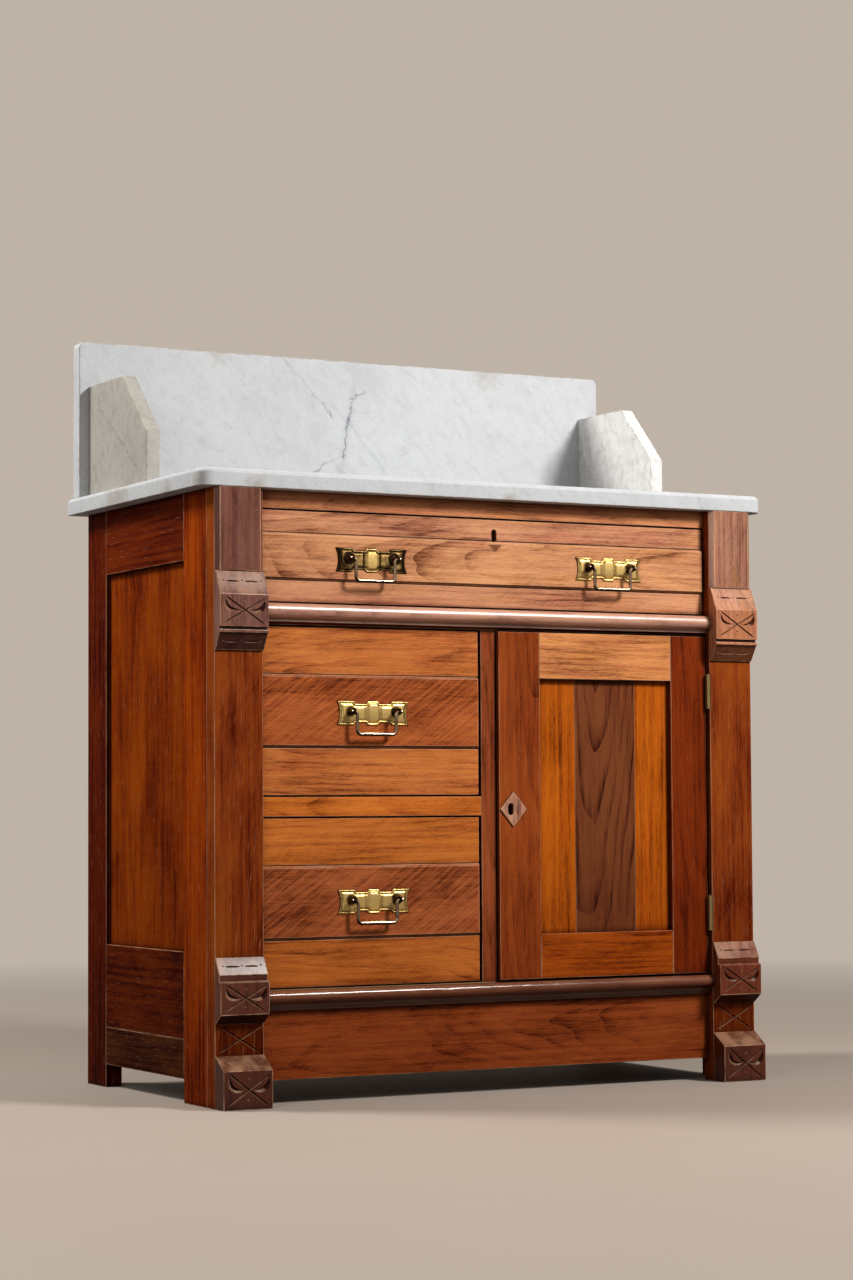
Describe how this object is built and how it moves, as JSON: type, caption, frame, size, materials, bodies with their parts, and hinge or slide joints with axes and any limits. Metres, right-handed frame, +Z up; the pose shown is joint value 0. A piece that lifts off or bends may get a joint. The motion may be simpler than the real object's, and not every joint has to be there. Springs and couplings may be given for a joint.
{
  "type": "washstand",
  "caption": "Walnut washstand with a marble slab, splashback and side wings, drawers with brass bail pulls and a cupboard with a boarded door, on block feet.",
  "frame": {"origin": "on the floor, under the middle of the whole piece", "axes": "+Z up, -Y towards the user in front, +X to the right seen from the front"},
  "size_m": [0.81, 0.444, 0.967],
  "materials": {
    "marble": "honed white marble with grey veins",
    "walnut_posts": "dark polished walnut",
    "walnut_frame": "reddish walnut, old varnish",
    "walnut_panels": "amber walnut boards, old varnish",
    "walnut_drawer_fronts": "figured walnut, old varnish",
    "secondary_wood": "bare pale softwood",
    "escutcheon_wood": "worn pale wood",
    "brass": "tarnished cast brass",
    "bail_brass": "dark, worn brass wire",
    "lock_iron": "dull iron"
  },
  "bodies": {
    "case": {"marble_slab": "marble", "marble_splashback": "marble", "marble_left_wing": "marble", "marble_right_wing": "marble", "left_pilaster": "walnut_posts", "right_pilaster": "walnut_posts", "left_front_stile": "walnut_frame", "right_front_stile": "walnut_frame", "left_rear_stile": "walnut_frame", "right_rear_stile": "walnut_frame", "left_side_panel": "walnut_panels", "right_side_panel": "walnut_panels", "side_top_rails": "walnut_frame", "side_bottom_rails": "walnut_frame", "side_skirts": "walnut_frame", "top_blocks": "walnut_posts", "upper_corbels": "walnut_posts", "lower_corbels": "walnut_posts", "foot_blocks": "walnut_posts", "top_rail": "walnut_frame", "waist_rail": "walnut_frame", "waist_moulding": "walnut_frame", "divider_stile": "walnut_frame", "drawer_rail": "walnut_frame", "base_moulding": "walnut_frame", "plinth_rail": "walnut_frame", "cupboard_floor": "secondary_wood", "partition": "secondary_wood", "back_boards": "secondary_wood", "rear_top_rail": "secondary_wood", "drawer_runners": "secondary_wood", "post_hinge_leaves": "brass"},
    "top_drawer": {"top_drawer_front": "walnut_drawer_fronts", "top_drawer_band": "walnut_drawer_fronts", "top_drawer_box": "secondary_wood", "top_drawer_bottom": "secondary_wood", "top_drawer_pull_plates": "brass", "top_drawer_lock": "lock_iron"},
    "upper_drawer": {"upper_drawer_front": "walnut_drawer_fronts", "upper_drawer_band": "walnut_drawer_fronts", "upper_drawer_box": "secondary_wood", "upper_drawer_bottom": "secondary_wood", "upper_drawer_pull_plate": "brass"},
    "lower_drawer": {"lower_drawer_front": "walnut_drawer_fronts", "lower_drawer_band": "walnut_drawer_fronts", "lower_drawer_box": "secondary_wood", "lower_drawer_bottom": "secondary_wood", "lower_drawer_pull_plate": "brass"},
    "door": {"door_stiles": "walnut_frame", "door_rails": "walnut_frame", "door_boards": "walnut_panels", "door_escutcheon": "escutcheon_wood", "door_lock": "lock_iron", "door_hinge_leaves": "brass"},
    "top_left_bail": {"top_left_bail": "bail_brass"},
    "top_right_bail": {"top_right_bail": "bail_brass"},
    "upper_drawer_bail": {"upper_drawer_bail": "bail_brass"},
    "lower_drawer_bail": {"lower_drawer_bail": "bail_brass"},
    "door_bolt": {"door_bolt": "lock_iron"},
    "top_drawer_bolt": {"top_drawer_bolt": "lock_iron"}
  },
  "joints": [
    {"name": "top_drawer_slide", "type": "slide", "parent": "case", "child": "top_drawer", "axis": [0, -1, 0], "range_m": [0, 0.27]},
    {"name": "upper_drawer_slide", "type": "slide", "parent": "case", "child": "upper_drawer", "axis": [0, -1, 0], "range_m": [0, 0.27]},
    {"name": "lower_drawer_slide", "type": "slide", "parent": "case", "child": "lower_drawer", "axis": [0, -1, 0], "range_m": [0, 0.27]},
    {"name": "door_hinge", "type": "hinge", "parent": "case", "child": "door", "pos_m": [0.32, -0.1945, 0.36], "axis": [0, 0, 1], "range_deg": [0, 95]},
    {"name": "top_left_bail_swing", "type": "hinge", "parent": "top_drawer", "child": "top_left_bail", "pos_m": [-0.169, -0.1982, 0.6595], "axis": [-1, 0, 0], "range_deg": [-18, 198]},
    {"name": "top_right_bail_swing", "type": "hinge", "parent": "top_drawer", "child": "top_right_bail", "pos_m": [0.173, -0.1982, 0.6595], "axis": [-1, 0, 0], "range_deg": [-18, 198]},
    {"name": "upper_drawer_bail_swing", "type": "hinge", "parent": "upper_drawer", "child": "upper_drawer_bail", "pos_m": [-0.168, -0.1982, 0.472], "axis": [-1, 0, 0], "range_deg": [-18, 198]},
    {"name": "lower_drawer_bail_swing", "type": "hinge", "parent": "lower_drawer", "child": "lower_drawer_bail", "pos_m": [-0.168, -0.1982, 0.2425], "axis": [-1, 0, 0], "range_deg": [-18, 198]},
    {"name": "door_bolt_throw", "type": "slide", "parent": "door", "child": "door_bolt", "axis": [-1, 0, 0], "range_m": [0, 0.009]},
    {"name": "top_drawer_bolt_throw", "type": "slide", "parent": "top_drawer", "child": "top_drawer_bolt", "axis": [0, 0, 1], "range_m": [0, 0.009]}
  ]
}
